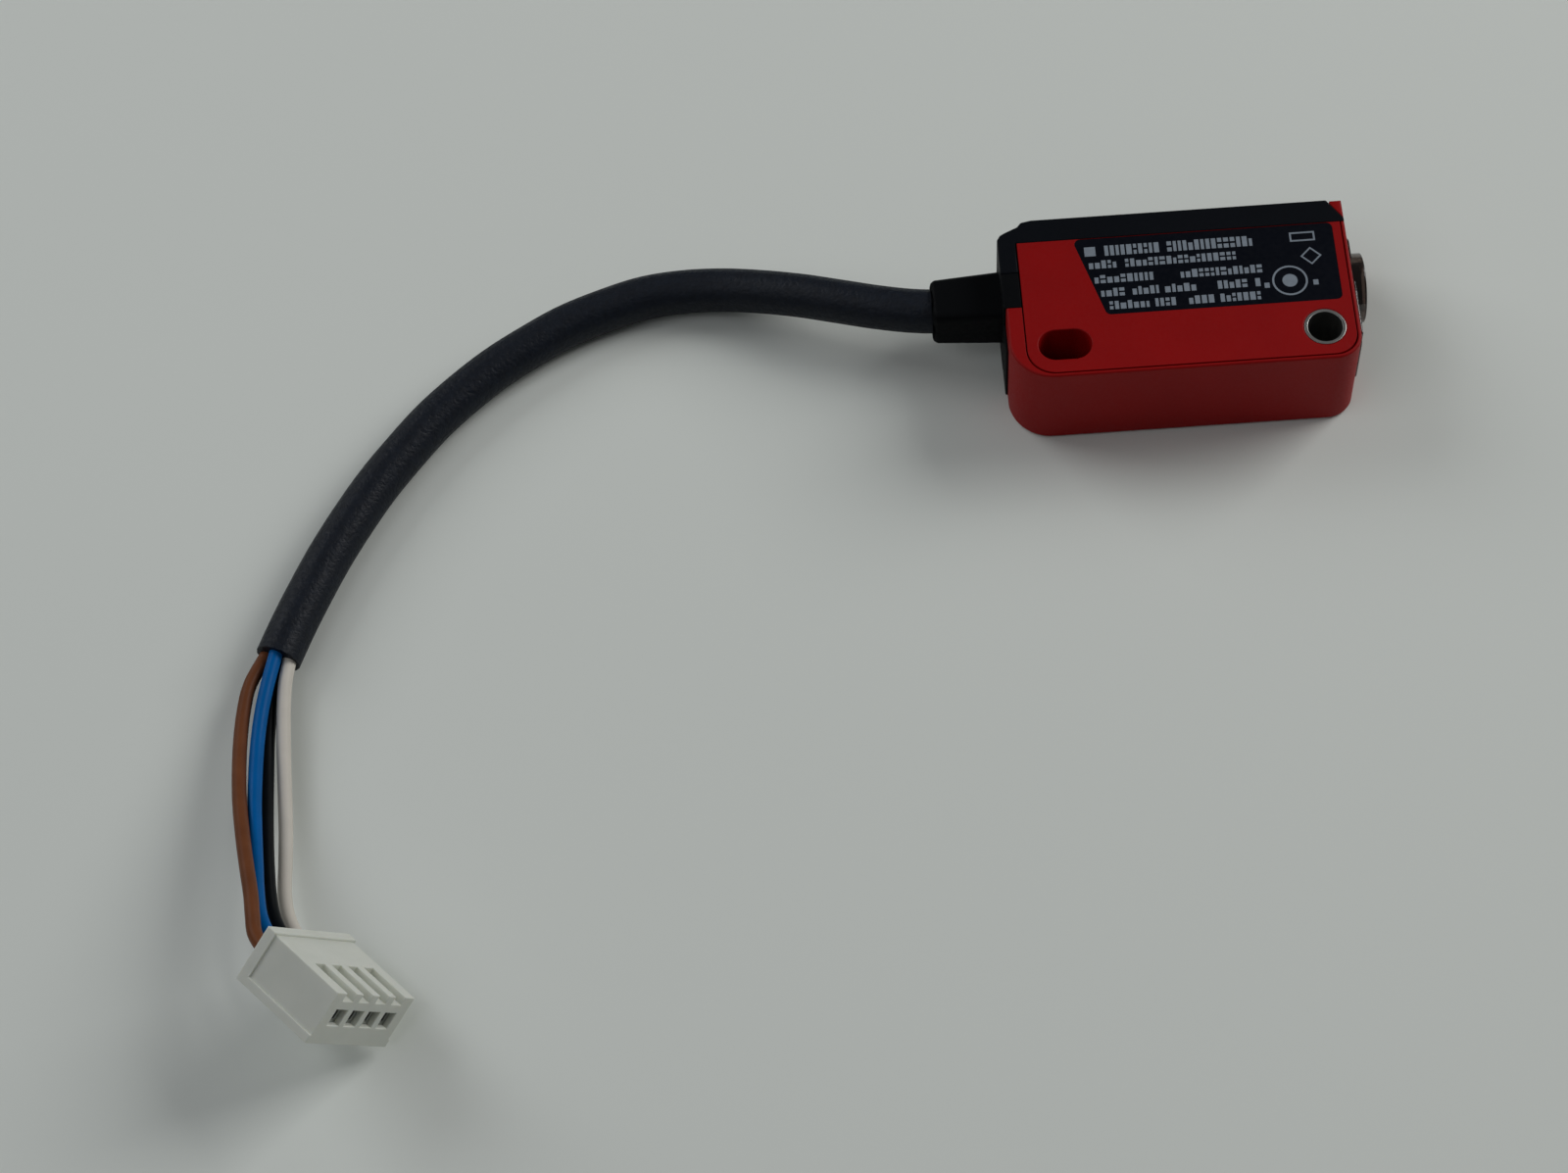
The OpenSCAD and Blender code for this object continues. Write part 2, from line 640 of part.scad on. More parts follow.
housing_shell();
side_cover();
nameplate();
front_cover();
front_gasket();
optics_window();
transmitter_lens();
receiver_lens();
light_barrier();
optics_holder();
emitter_led();
receiver_carriage();
receiver_diode();
guide_rod();
range_spindle();
spindle_seal();
slip_clutch();
display_window();
light_guides();
power_led();
output_led();
led_board();
main_board();
board_components();
shield_can();
mounting_sleeve();
strain_relief();
cord_anchor();
board_leads();
cable_jacket();
wire_brown();
wire_blue();
wire_black();
wire_white();
plug_housing();
plug_contacts();
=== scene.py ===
"""Looks of a miniature photoelectric sensor with its lead and plug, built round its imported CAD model."""
import math
import random

import bmesh
import bpy
from bpy.props import FloatProperty, FloatVectorProperty, IntProperty, PointerProperty, StringProperty
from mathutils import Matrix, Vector


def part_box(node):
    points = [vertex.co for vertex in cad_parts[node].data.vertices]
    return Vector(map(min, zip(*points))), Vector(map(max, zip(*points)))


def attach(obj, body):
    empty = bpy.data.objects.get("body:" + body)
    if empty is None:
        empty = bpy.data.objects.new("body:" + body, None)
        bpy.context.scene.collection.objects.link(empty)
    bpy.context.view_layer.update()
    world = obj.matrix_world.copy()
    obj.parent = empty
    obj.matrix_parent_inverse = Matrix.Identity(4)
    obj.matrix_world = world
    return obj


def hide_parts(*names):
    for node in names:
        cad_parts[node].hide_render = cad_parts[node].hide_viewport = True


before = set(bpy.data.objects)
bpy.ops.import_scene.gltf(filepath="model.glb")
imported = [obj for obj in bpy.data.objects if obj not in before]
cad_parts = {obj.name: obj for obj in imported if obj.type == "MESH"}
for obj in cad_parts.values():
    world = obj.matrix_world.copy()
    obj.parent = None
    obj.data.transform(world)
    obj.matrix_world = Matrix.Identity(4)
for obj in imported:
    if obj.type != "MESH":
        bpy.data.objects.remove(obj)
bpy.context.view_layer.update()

bl_info = {
    "name": "Miniature Photoelectric Sensor",
    "version": (1, 0, 0),
    "blender": (4, 5, 0),
    "location": "View3D > Sidebar > Sensor",
    "description": "Builds the housing, optics, adjuster, lead and plug of a miniature photoelectric sensor",
    "category": "Add Mesh",
}

MM = 0.001

# Middle lines of the jacket and the wires, in millimetres, as the CAD model has them.
JACKET = [(-14.5, 2.9, 5.7), (-18, 2.9, 5.7), (-22, 2.9, 5.7), (-26, 3.1, 5.7), (-30, 4, 5.5), (-34, 5.4, 5),
          (-38, 7, 4.2), (-42, 8.4, 3.3), (-46, 9.4, 2.6), (-50, 9.7, 2.3), (-54, 9.3, 2.25), (-58, 8.1, 2.25),
          (-62, 6.5, 2.25), (-65.5, 4.5, 2.25), (-69, 2.2, 2.25), (-72.4, -0.6, 2.25), (-75.6, -3.7, 2.25),
          (-78.5, -7.2, 2.25), (-81.2, -10.8, 2.25), (-83.6, -14.6, 2.25), (-85.8, -18.5, 2.25),
          (-87.7, -22.4, 2.25), (-89.4, -26.2, 2.25), (-90.8, -29.7, 2.25)]
WIRES = {
    "brown": [(-91.9, -29.25, 2.3), (-93.4, -32.55, 2.6), (-93.9, -35.8, 3), (-94, -39.4, 3.7),
              (-93.85, -43.05, 4.6), (-93.5, -46.75, 5.7), (-92.95, -50.45, 6.8), (-92.3, -54.1, 7.9),
              (-91.65, -57.55, 8.8), (-91.35, -59.9, 9.3), (-91, -61.95, 9.6), (-89.9, -63.8, 9.9),
              (-88.45, -65.45, 10.15)],
    "blue": [(-90.85, -29.7, 3.25), (-91.6, -33.05, 3.3), (-92.1, -36.15, 3.4), (-92.35, -39.5, 3.7),
             (-92.35, -43, 4.3), (-92.25, -46.5, 4.95), (-92, -49.95, 5.6), (-91.7, -53.4, 6.3),
             (-91.4, -56.75, 6.9), (-91, -59.15, 7.25), (-90.15, -61.2, 7.5), (-88.75, -63.15, 7.75),
             (-87.3, -64.75, 8)],
    "black": [(-90.8, -29.7, 1.3), (-91.25, -32.1, 1.4), (-91.6, -35.2, 1.5), (-91.7, -38.65, 1.85),
              (-91.6, -42.15, 2.4), (-91.45, -45.65, 3.1), (-91.25, -49.15, 3.8), (-91, -52.55, 4.4),
              (-90.65, -55.9, 4.9), (-90.15, -58.4, 5.2), (-89.2, -60.45, 5.4), (-87.65, -62.45, 5.65),
              (-86.15, -64.05, 5.9)],
    "white": [(-89.7, -30.15, 2.35), (-90.05, -32.7, 2.4), (-90.15, -35.7, 2.3), (-90.1, -38.95, 2.2),
              (-90, -42.1, 2.1), (-89.85, -45.35, 2.15), (-89.7, -48.55, 2.3), (-89.65, -51.8, 2.5),
              (-89.6, -55.05, 2.8), (-89.15, -57.6, 3.05), (-88.15, -59.75, 3.25), (-86.5, -61.75, 3.5),
              (-85.05, -63.35, 3.75)],
}


def metres(points):
    """Points given in millimetres, as vectors in metres."""
    return [Vector(p) * MM for p in points]


# ---------------------------------------------------------------- settings

class SensorSizes(bpy.types.PropertyGroup):
    """Sizes that the CAD model doesn't give."""
    mould_round: FloatProperty(name="Mould rounding", description="Rounding of the housing's outer edges",
                               default=0.24 * MM, unit="LENGTH")
    base_round: FloatProperty(name="Base rounding", description="Rounding of the housing's lower edge",
                              default=0.5 * MM, unit="LENGTH")
    cover_round: FloatProperty(name="Cover rounding", description="Rounding along the groove of the side cover",
                               default=0.07 * MM, unit="LENGTH")
    cable_d: FloatProperty(name="Cable", description="Outer diameter of the jacket",
                           default=4.5 * MM, unit="LENGTH")
    wire_d: FloatProperty(name="Wire", description="Outer diameter of one insulated wire",
                          default=1.4 * MM, unit="LENGTH")
    steps: IntProperty(name="Steps", description="Rings of a tube between two points of its route", default=8)
    print_h: FloatProperty(name="Print", description="Height of the print above the nameplate",
                           default=0.015 * MM, unit="LENGTH")


class SensorColours(bpy.types.PropertyGroup):
    """Colours of the finishes, as sRGB hex values."""
    red: StringProperty(name="Housing", description="Moulded red housing", default="#980506")
    black: StringProperty(name="Front cover", description="Moulded black cover", default="#060a12")
    boot: StringProperty(name="Strain relief", description="Soft black sleeve", default="#040609")
    jacket: StringProperty(name="Jacket", description="Black cable jacket", default="#151d29")
    plate: StringProperty(name="Nameplate", description="Dark foil", default="#040814")
    print: StringProperty(name="Print", description="Marks on the foil", default="#87929d")
    brown: StringProperty(name="Brown wire", description="Supply wire", default="#7d4c30")
    blue: StringProperty(name="Blue wire", description="Return wire", default="#0063ac")
    core_black: StringProperty(name="Black wire", description="Output wire", default="#14181c")
    white: StringProperty(name="White wire", description="Second signal wire", default="#e0dacf")
    nylon: StringProperty(name="Plug", description="Natural nylon of the plug", default="#e0e2d9")
    floor: StringProperty(name="Floor", description="Plain pale floor", default="#e4e8e2")


class StageSettings(bpy.types.PropertyGroup):
    """Camera and light."""
    lens: FloatProperty(name="Lens", description="Focal length", default=80.1, unit="CAMERA")
    camera_at: FloatVectorProperty(name="Camera", description="Place of the camera", size=3,
                                   default=(-0.036256, -0.191082, 0.298617), subtype="TRANSLATION")
    camera_turn: FloatVectorProperty(name="Camera turn", description="Turn of the camera", size=3,
                                     default=[math.radians(a) for a in (29.0972, 2.6427, -2.9455)],
                                     subtype="EULER")
    key: FloatProperty(name="Key", description="Power of the large light behind and to the right", default=4.0)
    second: FloatProperty(name="Second", description="Power of the large light behind and to the left",
                          default=1.9)
    fill: FloatProperty(name="Fill", description="Power of the weak light above and to the left", default=1.05)
    sky: FloatProperty(name="Sky", description="Strength of the light all round", default=0.07)


# ---------------------------------------------------------------- materials

def linear(code):
    """Linear RGBA of an sRGB hex colour such as #850b0e."""
    parts = [int(code[i:i + 2], 16) / 255 for i in (1, 3, 5)]
    return (*[c / 12.92 if c <= 0.04045 else ((c + 0.055) / 1.055) ** 2.4 for c in parts], 1)


def add(tree, kind, inputs=None, **settings):
    """Adds a node with its settings; inputs gives sockets a value or the output that feeds them."""
    made = tree.nodes.new(kind)
    for key, value in settings.items():
        setattr(made, key, value)
    for socket, value in (inputs or {}).items():
        if isinstance(value, bpy.types.NodeSocket):
            tree.links.new(value, made.inputs[socket])
        else:
            made.inputs[socket].default_value = value
    return made


def material(name, colour, **sockets):
    """A new material and its Principled shader, with constants set on the shader's own sockets."""
    made = bpy.data.materials.new(name)
    made.use_nodes = True
    shader = made.node_tree.nodes["Principled BSDF"]
    shader.inputs["Base Color"].default_value = linear(colour)
    for socket, value in sockets.items():
        shader.inputs[socket.replace("_", " ")].default_value = value
    made.diffuse_color = linear(colour)
    return made, made.node_tree, shader


def tones(tree, shader, where, size, dark, light, detail=3):
    """Varies the shader's colour between two hex tones in patches of a size in metres."""
    patch = add(tree, "ShaderNodeTexNoise", {"Vector": where, "Scale": 1 / size, "Detail": detail})
    mix = add(tree, "ShaderNodeMix", {"Factor": patch.outputs["Fac"]}, data_type="RGBA")
    mix.inputs["A"].default_value = linear(dark)
    mix.inputs["B"].default_value = linear(light)
    tree.links.new(mix.outputs["Result"], shader.inputs["Base Color"])


def grain(tree, shader, where, size, depth, strength, rough=None):
    """Fine relief of a size and depth in metres, and with rough=(low, high) a roughness that varies with it."""
    noise = add(tree, "ShaderNodeTexNoise", {"Vector": where, "Scale": 1 / size, "Detail": 2.5, "Roughness": 0.55})
    bump = add(tree, "ShaderNodeBump", {"Height": noise.outputs["Fac"], "Distance": depth, "Strength": strength})
    tree.links.new(bump.outputs["Normal"], shader.inputs["Normal"])
    if rough:
        spread = add(tree, "ShaderNodeMapRange", {"Value": noise.outputs["Fac"], "From Min": 0.3, "From Max": 0.7,
                                                  "To Min": rough[0], "To Max": rough[1]})
        tree.links.new(spread.outputs["Result"], shader.inputs["Roughness"])


def moulded_abs(name, colour, dark, size=0.28 * MM, depth=0.012 * MM, rough=(0.42, 0.56), shine=0.22):
    """ABS from a spark-eroded mould: an even colour under a fine dull grain that breaks up the highlights.
    The real grain is about 0.05 mm; it is drawn coarser so that it shows."""
    made, tree, shader = material(name, colour, IOR=1.53, Specular_IOR_Level=shine)
    where = add(tree, "ShaderNodeTexCoord").outputs["Object"]
    tones(tree, shader, where, 6 * MM, dark, colour)
    grain(tree, shader, where, size, depth, 0.35, rough)
    return made


def soft_tpe(name, colour, dark):
    """Thermoplastic rubber: near black and dull, with a broad weak highlight."""
    made, tree, shader = material(name, colour, IOR=1.5, Specular_IOR_Level=0.08)
    where = add(tree, "ShaderNodeTexCoord").outputs["Object"]
    tones(tree, shader, where, 3 * MM, dark, colour)
    grain(tree, shader, where, 0.35 * MM, 0.01 * MM, 0.4, (0.5, 0.66))
    return made


def extruded_pvc(name, colour, dark, size, depth, rough, shine=0.16, patch=2.5 * MM):
    """Extruded PVC: smooth with a slight orange peel from the die, and a soft sheen along the top."""
    made, tree, shader = material(name, colour, IOR=1.54, Specular_IOR_Level=shine)
    where = add(tree, "ShaderNodeTexCoord").outputs["Object"]
    tones(tree, shader, where, patch, dark, colour)
    grain(tree, shader, where, size, depth, 0.9, rough)
    return made


def printed_foil(colour):
    """Polyester foil printed dark blue: smooth, a little glossy, with very faint mottling."""
    made, tree, shader = material("printed polyester foil", colour, IOR=1.58, Specular_IOR_Level=0.1)
    where = add(tree, "ShaderNodeTexCoord").outputs["Object"]
    tones(tree, shader, where, 4 * MM, "#03060e", colour)
    grain(tree, shader, where, 0.5 * MM, 0.002 * MM, 0.3, (0.36, 0.46))
    return made


def screen_ink(colour):
    """Screen-printed ink: pale grey and dull, thin enough for the foil to show through in places."""
    made, tree, shader = material("pale screen ink", colour, IOR=1.5)
    where = add(tree, "ShaderNodeTexCoord").outputs["Object"]
    tones(tree, shader, where, 0.5 * MM, "#737c86", colour)
    shader.inputs["Roughness"].default_value = 0.6
    return made


def clear_plastic(name, colour, dark, ior, rough, through=1.0):
    """Polished clear moulding, tinted in the mass, with faint flow marks from the gate."""
    made, tree, shader = material(name, colour, IOR=ior, Transmission_Weight=through)
    where = add(tree, "ShaderNodeTexCoord").outputs["Object"]
    tones(tree, shader, where, 5 * MM, dark, colour)
    grain(tree, shader, where, 2.2 * MM, 0.003 * MM, 0.25, rough)
    return made


def turned_metal(name, colour, dark, pitch, rough, axis):
    """Metal from a lathe: fine rings across the axis stretch the highlights."""
    made, tree, shader = material(name, colour, Metallic=1.0)
    where = add(tree, "ShaderNodeTexCoord").outputs["Object"]
    tones(tree, shader, where, 1.5 * MM, dark, colour)
    stretch = [1 / (60 * pitch)] * 3
    stretch["XYZ".index(axis)] = 1 / pitch
    lines = add(tree, "ShaderNodeMapping", {"Vector": where, "Scale": stretch})
    noise = add(tree, "ShaderNodeTexNoise", {"Vector": lines.outputs["Vector"], "Scale": 1.0, "Detail": 2.0})
    bump = add(tree, "ShaderNodeBump", {"Height": noise.outputs["Fac"], "Distance": 0.004 * MM, "Strength": 0.4})
    spread = add(tree, "ShaderNodeMapRange", {"Value": noise.outputs["Fac"], "To Min": rough[0], "To Max": rough[1]})
    tree.links.new(bump.outputs["Normal"], shader.inputs["Normal"])
    tree.links.new(spread.outputs["Result"], shader.inputs["Roughness"])
    return made


def plated_tin(name):
    """Tin-plated bronze strip: satin grey with cloudy patches of dull plating."""
    made, tree, shader = material(name, "#b4b6b3", Metallic=1.0)
    where = add(tree, "ShaderNodeTexCoord").outputs["Object"]
    tones(tree, shader, where, 1.2 * MM, "#8f918e", "#c6c8c5")
    grain(tree, shader, where, 0.3 * MM, 0.004 * MM, 0.4, (0.28, 0.5))
    return made


def natural_nylon(colour):
    """Unfilled nylon: milky, light goes a little way in, and the faces are faintly waxy."""
    made, tree, shader = material("natural nylon", colour, IOR=1.53, Subsurface_Weight=0.35,
                                  Subsurface_Scale=0.6 * MM)
    shader.inputs["Subsurface Radius"].default_value = (1.0, 0.9, 0.75)
    where = add(tree, "ShaderNodeTexCoord").outputs["Object"]
    tones(tree, shader, where, 4 * MM, "#d0d3c9", colour)
    grain(tree, shader, where, 0.4 * MM, 0.006 * MM, 0.4, (0.38, 0.5))
    return made


def solder_resist():
    """Circuit board: green resist over copper tracks, which show as paler lines on a grid."""
    made, tree, shader = material("green solder resist", "#12452a", IOR=1.55)
    where = add(tree, "ShaderNodeTexCoord").outputs["Object"]
    tracks = add(tree, "ShaderNodeTexBrick", {"Vector": where, "Scale": 1 / (2.4 * MM), "Mortar Size": 0.03,
                                              "Brick Width": 1.1, "Row Height": 0.35})
    tracks.inputs["Color1"].default_value = linear("#12452a")
    tracks.inputs["Color2"].default_value = linear("#0e3a23")
    tracks.inputs["Mortar"].default_value = linear("#2f7a4c")
    tree.links.new(tracks.outputs["Color"], shader.inputs["Base Color"])
    shader.inputs["Roughness"].default_value = 0.32
    return made


def epoxy_case(name, colour, dark):
    """Moulded epoxy of a chip: dull and faintly speckled by its filler."""
    made, tree, shader = material(name, colour, IOR=1.55)
    where = add(tree, "ShaderNodeTexCoord").outputs["Object"]
    tones(tree, shader, where, 0.2 * MM, dark, colour, 4)
    grain(tree, shader, where, 0.15 * MM, 0.003 * MM, 0.5, (0.5, 0.65))
    return made


def led_resin(name, colour, painted_glow):
    """Tinted clear resin, mixed in random patches with a lighter tone that is a painted glow."""
    made, tree, shader = material(name, colour, IOR=1.5, Transmission_Weight=0.4, Roughness=0.15)
    where = add(tree, "ShaderNodeTexCoord").outputs["Object"]
    # the lighter second tone is painted glow, as if the LED were lit
    tones(tree, shader, where, 0.6 * MM, colour, painted_glow)
    return made


# ---------------------------------------------------------------- modelling

def select_only(piece):
    """Selects one piece alone and makes it active."""
    if bpy.context.object and bpy.context.object.mode != "OBJECT":
        bpy.ops.object.mode_set(mode="OBJECT")
    bpy.ops.object.select_all(action="DESELECT")
    bpy.context.view_layer.objects.active = piece
    piece.select_set(True)


def new_primitive(name, operator, **settings):
    """Adds a primitive with nothing else selected, and names it."""
    if bpy.context.object and bpy.context.object.mode != "OBJECT":
        bpy.ops.object.mode_set(mode="OBJECT")
    bpy.ops.object.select_all(action="DESELECT")
    operator(**settings)
    bpy.context.object.name = name
    return bpy.context.object


def whole_faces(node, name):
    """A piece with the shape of a CAD node, whose loose triangles are merged into whole faces."""
    piece = bpy.data.objects.new(name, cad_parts[node].data.copy())
    bpy.context.scene.collection.objects.link(piece)
    piece.data.materials.clear()
    select_only(piece)
    if piece.data.has_custom_normals:
        bpy.ops.mesh.customdata_custom_splitnormals_clear()
    bpy.ops.object.mode_set(mode="EDIT")
    bpy.ops.mesh.select_all(action="SELECT")
    bpy.ops.mesh.remove_doubles(threshold=1e-6)
    bpy.ops.mesh.dissolve_limited(angle_limit=math.radians(0.3))
    bpy.ops.object.mode_set(mode="OBJECT")
    return piece


def round_edges(piece, roundings, segments=3, angle=40):
    """Rounds the outer edges that are sharper than an angle in degrees. roundings holds pairs of a width and a
    test of an edge's middle, and the first pair whose test holds gives the edge its width."""
    shape = bmesh.new()
    shape.from_mesh(piece.data)
    weight = shape.edges.layers.float.new("bevel_weight_edge")
    widest = max(width for width, _ in roundings)
    for edge in shape.edges:
        if len(edge.link_faces) == 2 and edge.calc_face_angle_signed() > math.radians(angle):
            middle = (edge.verts[0].co + edge.verts[1].co) / 2
            edge[weight] = next((width for width, test in roundings if test(middle)), 0) / widest
    shape.to_mesh(piece.data)
    shape.free()
    select_only(piece)
    bpy.ops.object.modifier_add(type="BEVEL")
    bevel = piece.modifiers[-1]
    bevel.width = widest
    bevel.segments = segments
    bevel.limit_method = "WEIGHT"
    bevel.use_clamp_overlap = False
    bpy.ops.object.modifier_apply(modifier=bevel.name)
    bpy.ops.object.shade_smooth_by_angle(angle=math.radians(35))
    # large faces stay flat up to their rounded edges
    bpy.ops.object.modifier_add(type="WEIGHTED_NORMAL")
    flat = piece.modifiers[-1]
    flat.weight = 100
    flat.keep_sharp = True
    bpy.ops.object.modifier_apply(modifier=flat.name)


def shade(piece, angle=30):
    """Smooth shading, kept sharp where two faces meet at more than an angle in degrees."""
    select_only(piece)
    bpy.ops.object.shade_smooth_by_angle(angle=math.radians(angle))


def select_faces(piece, test):
    """Enters edit mode with the faces for which test(centre, normal) holds selected, and no others."""
    select_only(piece)
    bpy.ops.object.mode_set(mode="EDIT")
    bpy.ops.mesh.select_all(action="DESELECT")
    bpy.ops.mesh.select_mode(type="FACE")
    bpy.ops.object.mode_set(mode="OBJECT")
    for face in piece.data.polygons:
        face.select = test(face.center, face.normal)
    bpy.ops.object.mode_set(mode="EDIT")


def settle(piece, finish, body="root", nodes=()):
    """Gives a finished piece its material and its body, and hides the CAD nodes that it stands for."""
    select_only(piece)
    bpy.ops.object.transform_apply(location=True, rotation=True, scale=True)
    piece.data.materials.clear()
    piece.data.materials.append(finish)
    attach(piece, body)
    if nodes:
        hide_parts(*nodes)
    return piece


def refined(node, finish, width, body="root", segments=3, test=lambda middle: True, others=()):
    """A CAD node's shape with its outer edges rounded, which then stands for the node."""
    piece = whole_faces(node, node + "_moulding")
    round_edges(piece, [*others, (width, test)], segments)
    return settle(piece, finish, body, [node])


def smooth_route(points, steps):
    """A smooth curve through the points, with steps stretches between each two of them."""
    ends = [points[0] * 2 - points[1], *points, points[-1] * 2 - points[-2]]
    line = []
    for a, b, c, d in zip(ends, ends[1:], ends[2:], ends[3:]):
        for i in range(steps):
            t = i / steps
            line.append(0.5 * (2 * b + (c - a) * t + (2 * a - 5 * b + 4 * c - d) * t ** 2
                               + (3 * b - a - 3 * c + d) * t ** 3))
    return [*line, points[-1]]


def tube(name, line, radius, sides):
    """A closed round tube along a line, made as a bevelled curve and turned into a mesh."""
    curve = bpy.data.curves.new(name, "CURVE")
    curve.dimensions = "3D"
    curve.bevel_depth = radius
    curve.bevel_resolution = sides // 4 - 2
    curve.use_fill_caps = True
    spline = curve.splines.new("POLY")
    spline.points.add(len(line) - 1)
    for point, at in zip(spline.points, line):
        point.co = (*at, 1)
    piece = bpy.data.objects.new(name, curve)
    bpy.context.scene.collection.objects.link(piece)
    select_only(piece)
    bpy.ops.object.convert(target="MESH")
    piece = bpy.context.object
    bpy.ops.object.mode_set(mode="EDIT")
    bpy.ops.mesh.select_all(action="SELECT")
    bpy.ops.mesh.remove_doubles(threshold=1e-7)
    bpy.ops.mesh.normals_make_consistent(inside=False)
    bpy.ops.object.mode_set(mode="OBJECT")
    return piece


# ---------------------------------------------------------------- operators

class SENSOR_OT_stage(bpy.types.Operator):
    """Places the camera, the floor and the studio lights"""
    bl_idname = "sensor.stage"
    bl_label = "Stage"

    def execute(self, context):
        stage = context.scene.sensor_stage
        colours = context.scene.sensor_colours
        camera = bpy.data.objects.new("camera", bpy.data.cameras.new("camera"))
        context.scene.collection.objects.link(camera)
        camera.data.lens = stage.lens
        camera.data.clip_start = 0.01
        camera.location = stage.camera_at
        camera.rotation_euler = stage.camera_turn
        context.scene.camera = camera

        floor = new_primitive("floor", bpy.ops.mesh.primitive_plane_add, size=6)
        made, tree, shader = material("pale matt floor", colours.floor, Roughness=0.85)
        where = add(tree, "ShaderNodeTexCoord").outputs["Object"]
        grain(tree, shader, where, 1.2 * MM, 0.02 * MM, 0.15)
        floor.data.materials.append(made)

        for name, power, size, place_at, tint in (
                ("key", stage.key, 0.5, (0.66, 0.3, 0.52), "#ffffff"),
                ("second", stage.second, 0.5, (-0.62, 0.42, 0.5), "#fafcff"),
                ("fill", stage.fill, 0.6, (-0.45, -0.25, 0.75), "#f8faff")):
            light = bpy.data.lights.new(name, "AREA")
            light.energy = power
            light.size = size
            light.color = linear(tint)[:3]
            lamp = bpy.data.objects.new(name, light)
            context.scene.collection.objects.link(lamp)
            lamp.location = place_at
            lamp.rotation_euler = (Vector((-0.03, 0, 0)) - lamp.location).to_track_quat("-Z", "Y").to_euler()
        world = bpy.data.worlds.new("soft room")
        world.use_nodes = True
        back = world.node_tree.nodes["Background"]
        back.inputs["Color"].default_value = linear("#eef2f4")
        back.inputs["Strength"].default_value = stage.sky
        context.scene.world = world
        context.scene.view_settings.view_transform = "Standard"
        return {"FINISHED"}


class SENSOR_OT_lead(bpy.types.Operator):
    """Makes the cable jacket with its cut end, and the four wires to the plug"""
    bl_idname = "sensor.lead"
    bl_label = "Cable and wires"

    def execute(self, context):
        sizes = context.scene.sensor_sizes
        colours = context.scene.sensor_colours
        radius = sizes.cable_d / 2
        route = metres(JACKET)
        line = smooth_route(route, sizes.steps)
        jacket = tube("cable_jacket_tube", line, radius, 32)
        # the cut end: a thin wall, and inside it the filler set back from the cut
        end, out = line[-1], (line[-1] - line[-2]).normalized()
        select_faces(jacket, lambda centre, normal: (centre - end).length < radius / 2 and normal.dot(out) > 0.9)
        bpy.ops.mesh.inset(thickness=0.55 * MM)
        bpy.ops.mesh.extrude_region_move(TRANSFORM_OT_translate={"value": -out * 1.2 * MM})
        bpy.ops.object.mode_set(mode="OBJECT")
        shade(jacket, 40)
        pvc = extruded_pvc("grained black pvc", colours.jacket, "#080b12", 0.38 * MM, 0.11 * MM, (0.42, 0.6),
                           shine=0.2, patch=0.7 * MM)
        settle(jacket, pvc, nodes=["cable_jacket"])
        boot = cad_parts["strain_relief"]
        lead_pieces = [boot]

        tints = {"brown": (colours.brown, "#5f3722"), "blue": (colours.blue, "#005694"),
                 "black": (colours.core_black, "#090b0d"), "white": (colours.white, "#d2ccc1")}
        for name, points in WIRES.items():
            ends = metres(points)
            inward = (ends[0] - ends[1]).normalized() * 1.1 * MM
            path = smooth_route([ends[0] + inward, *ends], sizes.steps)
            wire = tube(f"wire_{name}_insulation", path, sizes.wire_d / 2, 20)
            shade(wire, 40)
            colour, dark = tints[name]
            skin = extruded_pvc(f"{name} wire pvc", colour, dark, 0.6 * MM, 0.006 * MM, (0.34, 0.44),
                                shine=0.08)
            settle(wire, skin, nodes=[f"wire_{name}"])
        context.scene["jacket_length"] = sum((b - a).length for a, b in zip(line, line[1:]))
        return {"FINISHED"}


class SENSOR_OT_relief(bpy.types.Operator):
    """Makes the strain relief that grips the cable"""
    bl_idname = "sensor.relief"
    bl_label = "Strain relief"

    def execute(self, context):
        colours = context.scene.sensor_colours
        rubber = soft_tpe("black thermoplastic rubber", colours.boot, "#050608")
        boot_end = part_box("strain_relief")[0].x + 0.9 * MM
        refined("strain_relief", rubber, 0.12 * MM, segments=2,
                others=[(0.3 * MM, lambda middle: middle.x < boot_end)])
        return {"FINISHED"}


class SENSOR_OT_plug(bpy.types.Operator):
    """Makes the four-way plug and its contacts"""
    bl_idname = "sensor.plug"
    bl_label = "Plug"

    def execute(self, context):
        colours = context.scene.sensor_colours
        refined("plug_housing", natural_nylon(colours.nylon), 0.1 * MM)
        refined("plug_contacts", plated_tin("tinned bronze contact"), 0.06 * MM, segments=2)
        return {"FINISHED"}


